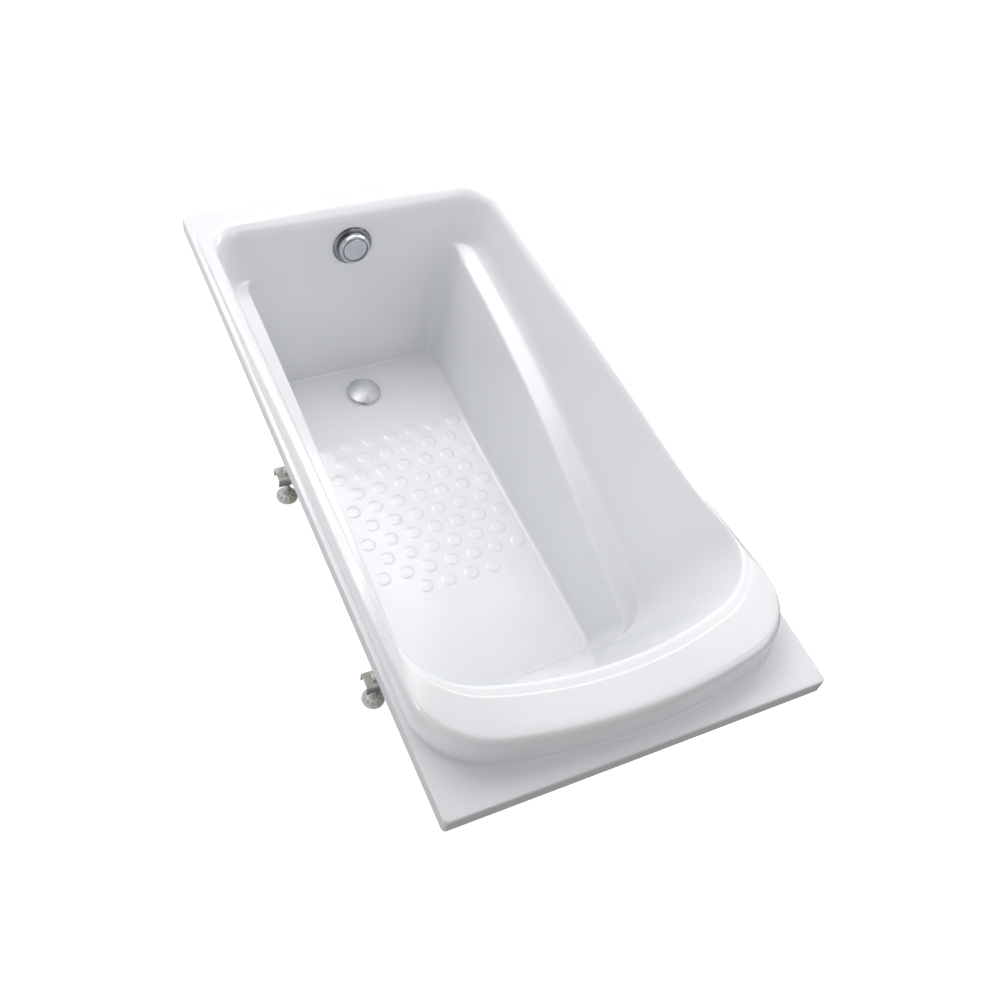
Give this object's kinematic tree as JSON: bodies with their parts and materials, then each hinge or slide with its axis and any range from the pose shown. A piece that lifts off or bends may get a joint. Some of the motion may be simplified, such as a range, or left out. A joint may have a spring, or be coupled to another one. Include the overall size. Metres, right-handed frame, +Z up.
{
  "type": "bathtub",
  "caption": "Drop-in bathtub with a raised rim round its head end, sloping armrest ledges, an anti-slip floor, a turning overflow knob and a pop-up waste, on a levelling frame.",
  "frame": {"origin": "on the floor, under the middle of the deck", "axes": "+X along the tub from the drain end to the head end, +Y across it to the side that the outlet pipe points to, +Z up"},
  "size_m": [1.5, 0.75, 0.6399],
  "materials": {
    "acrylic": "gloss",
    "fibre_backing": "matt, fibrous",
    "timber": "sawn",
    "particle_board": "pressed",
    "galvanised_steel": "galvanised",
    "zinc_steel": "zinc plated",
    "foot_plastic": "moulded",
    "rubber": "matt",
    "chrome": "polished",
    "white_plastic": "moulded",
    "brass": "machined",
    "nylon": "moulded",
    "cable_plastic": "satin"
  },
  "bodies": {
    "tub": {"tub_shell": "acrylic", "shell_backing": "fibre_backing", "rim_batten_right": "timber", "rim_batten_left": "timber", "rim_batten_head": "timber", "rim_batten_drain": "timber", "base_board": "particle_board", "leg_bar_drain": "galvanised_steel", "leg_bar_head": "galvanised_steel", "leg_bar_screws": "zinc_steel", "foot_weld_nuts": "zinc_steel", "foot_lock_nuts": "zinc_steel", "waste_flange": "chrome", "waste_gasket_top": "rubber", "waste_gasket_bottom": "rubber", "waste_body": "white_plastic", "waste_outlet_nut": "white_plastic", "waste_outlet_pipe": "white_plastic", "overflow_faceplate": "chrome", "overflow_gasket": "rubber", "overflow_body": "white_plastic", "overflow_back_cover": "white_plastic", "overflow_pipe": "white_plastic", "overflow_pipe_nut_upper": "white_plastic", "overflow_pipe_nut_lower": "white_plastic", "cable_casing": "cable_plastic", "cable_core": "zinc_steel", "cable_nut_upper": "nylon", "cable_nut_lower": "nylon"},
    "knob": {"overflow_knob": "chrome", "knob_cap": "chrome", "knob_spindle": "brass", "cable_drum": "nylon", "spindle_clip": "zinc_steel"},
    "plug": {"plug_cap": "chrome", "plug_seal": "rubber", "plug_stem": "brass", "lifter_pin": "brass"},
    "foot_1": {"foot_pad_1": "foot_plastic"},
    "foot_1_screw": {"foot_stud_1": "zinc_steel"},
    "foot_2": {"foot_pad_2": "foot_plastic"},
    "foot_2_screw": {"foot_stud_2": "zinc_steel"},
    "foot_3": {"foot_pad_3": "foot_plastic"},
    "foot_3_screw": {"foot_stud_3": "zinc_steel"},
    "foot_4": {"foot_pad_4": "foot_plastic"},
    "foot_4_screw": {"foot_stud_4": "zinc_steel"}
  },
  "joints": [
    {"name": "knob_turn", "type": "hinge", "parent": "tub", "child": "knob", "pos_m": [-0.6616, 0, 0.483], "axis": [0.988, 0, 0.1546], "range_deg": [0, 90]},
    {"name": "plug_lift", "type": "slide", "parent": "tub", "child": "plug", "axis": [0, 0, 1], "range_m": [0, 0.0101]},
    {"name": "foot_1_level", "type": "slide", "parent": "tub", "child": "foot_1", "axis": [0, 0, -1], "range_m": [-0.00525, 0.014]},
    {"name": "foot_1_turn", "type": "hinge", "parent": "foot_1", "child": "foot_1_screw", "pos_m": [-0.35, -0.258, 0], "axis": [0, 0, -1], "range_deg": [-1085, 2885]},
    {"name": "foot_2_level", "type": "slide", "parent": "tub", "child": "foot_2", "axis": [0, 0, -1], "range_m": [-0.00525, 0.014]},
    {"name": "foot_2_turn", "type": "hinge", "parent": "foot_2", "child": "foot_2_screw", "pos_m": [-0.35, 0.258, 0], "axis": [0, 0, -1], "range_deg": [-1085, 2885]},
    {"name": "foot_3_level", "type": "slide", "parent": "tub", "child": "foot_3", "axis": [0, 0, -1], "range_m": [-0.00525, 0.014]},
    {"name": "foot_3_turn", "type": "hinge", "parent": "foot_3", "child": "foot_3_screw", "pos_m": [0.24, -0.258, 0], "axis": [0, 0, -1], "range_deg": [-1085, 2885]},
    {"name": "foot_4_level", "type": "slide", "parent": "tub", "child": "foot_4", "axis": [0, 0, -1], "range_m": [-0.00525, 0.014]},
    {"name": "foot_4_turn", "type": "hinge", "parent": "foot_4", "child": "foot_4_screw", "pos_m": [0.24, 0.258, 0], "axis": [0, 0, -1], "range_deg": [-1085, 2885]}
  ],
  "couplings": [
    {"joint": "plug_lift", "follows": "knob_turn", "m_per_rad": 0.0063662},
    {"joint": "foot_1_turn", "follows": "foot_1_level", "rad_per_m": 3590.4},
    {"joint": "foot_2_turn", "follows": "foot_2_level", "rad_per_m": 3590.4},
    {"joint": "foot_3_turn", "follows": "foot_3_level", "rad_per_m": 3590.4},
    {"joint": "foot_4_turn", "follows": "foot_4_level", "rad_per_m": 3590.4}
  ]
}
